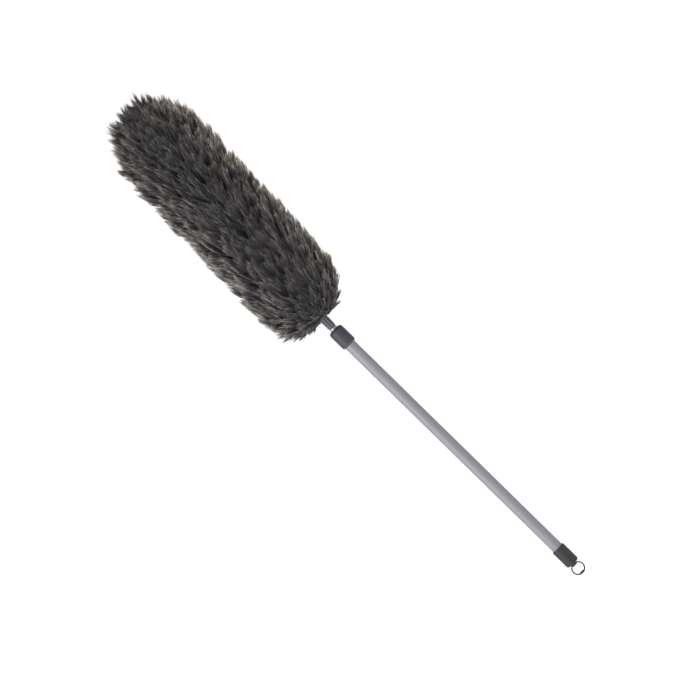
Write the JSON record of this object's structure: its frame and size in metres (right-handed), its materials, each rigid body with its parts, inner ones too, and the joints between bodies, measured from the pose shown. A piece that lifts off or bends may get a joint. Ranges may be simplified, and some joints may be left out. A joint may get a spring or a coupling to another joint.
{
  "type": "feather duster",
  "caption": "Long-handled duster: a thick sausage-shaped head of grey cut yarn on a wire core, on a telescopic twist-lock pole with a collar, end cap and hanging ring.",
  "frame": {"origin": "on the pole's axis, where the end cap's straight side begins, 1.6 mm above its end face", "axes": "+Z along the pole from the end cap to the head's tip; the ring hangs below the origin in the X-Z plane and swings about X; the head leans towards +X"},
  "size_m": [0.1597, 0.148, 1.0202],
  "materials": {
    "tube_grey": "satin",
    "tube_bright": "satin",
    "cap_plastic": "satin",
    "collar_plastic": "satin",
    "neck_plastic": "satin",
    "ring_wire": "satin",
    "pale_plastic": "matte",
    "inner_plastic": "matte",
    "nut_plastic": "matte",
    "zinc_steel": "satin",
    "black_steel": "satin",
    "core_steel": "satin",
    "rubber": "matte",
    "pile_yarn": "matte"
  },
  "bodies": {
    "handle": {"outer_tube": "tube_grey", "end_cap": "cap_plastic", "collar": "collar_plastic", "guide_bush": "pale_plastic"},
    "ring": {"hanging_ring": "ring_wire", "ring_sleeve": "ring_wire"},
    "expander": {"expander_sleeve": "pale_plastic", "garter_ring": "rubber"},
    "cone": {"cone_nut": "nut_plastic"},
    "pole": {"inner_tube": "tube_bright", "lock_plug": "inner_plastic", "lock_screw": "zinc_steel", "thrust_washer": "zinc_steel", "retaining_clip": "black_steel", "neck": "neck_plastic", "core_ferrule": "zinc_steel", "core_wire_a": "core_steel", "core_wire_b": "core_steel", "tip_cap": "inner_plastic", "pile": "pile_yarn"}
  },
  "joints": [
    {"name": "pole_slide", "type": "slide", "parent": "handle", "child": "expander", "axis": [0, 0, 1], "range_m": [0, 0.402]},
    {"name": "twist_lock", "type": "hinge", "parent": "expander", "child": "pole", "pos_m": [0, 0, 0.08], "axis": [0, 0, 1], "range_deg": [0, 180]},
    {"name": "cone_travel", "type": "slide", "parent": "expander", "child": "cone", "axis": [0, 0, -1], "range_m": [0, 0.0016]},
    {"name": "ring_swing", "type": "hinge", "parent": "handle", "child": "ring", "pos_m": [0, 0, -0.00292], "axis": [1, 0, 0], "range_deg": [-90, 90]}
  ],
  "couplings": [
    {"joint": "cone_travel", "follows": "twist_lock", "m_per_rad": 0.000477}
  ]
}
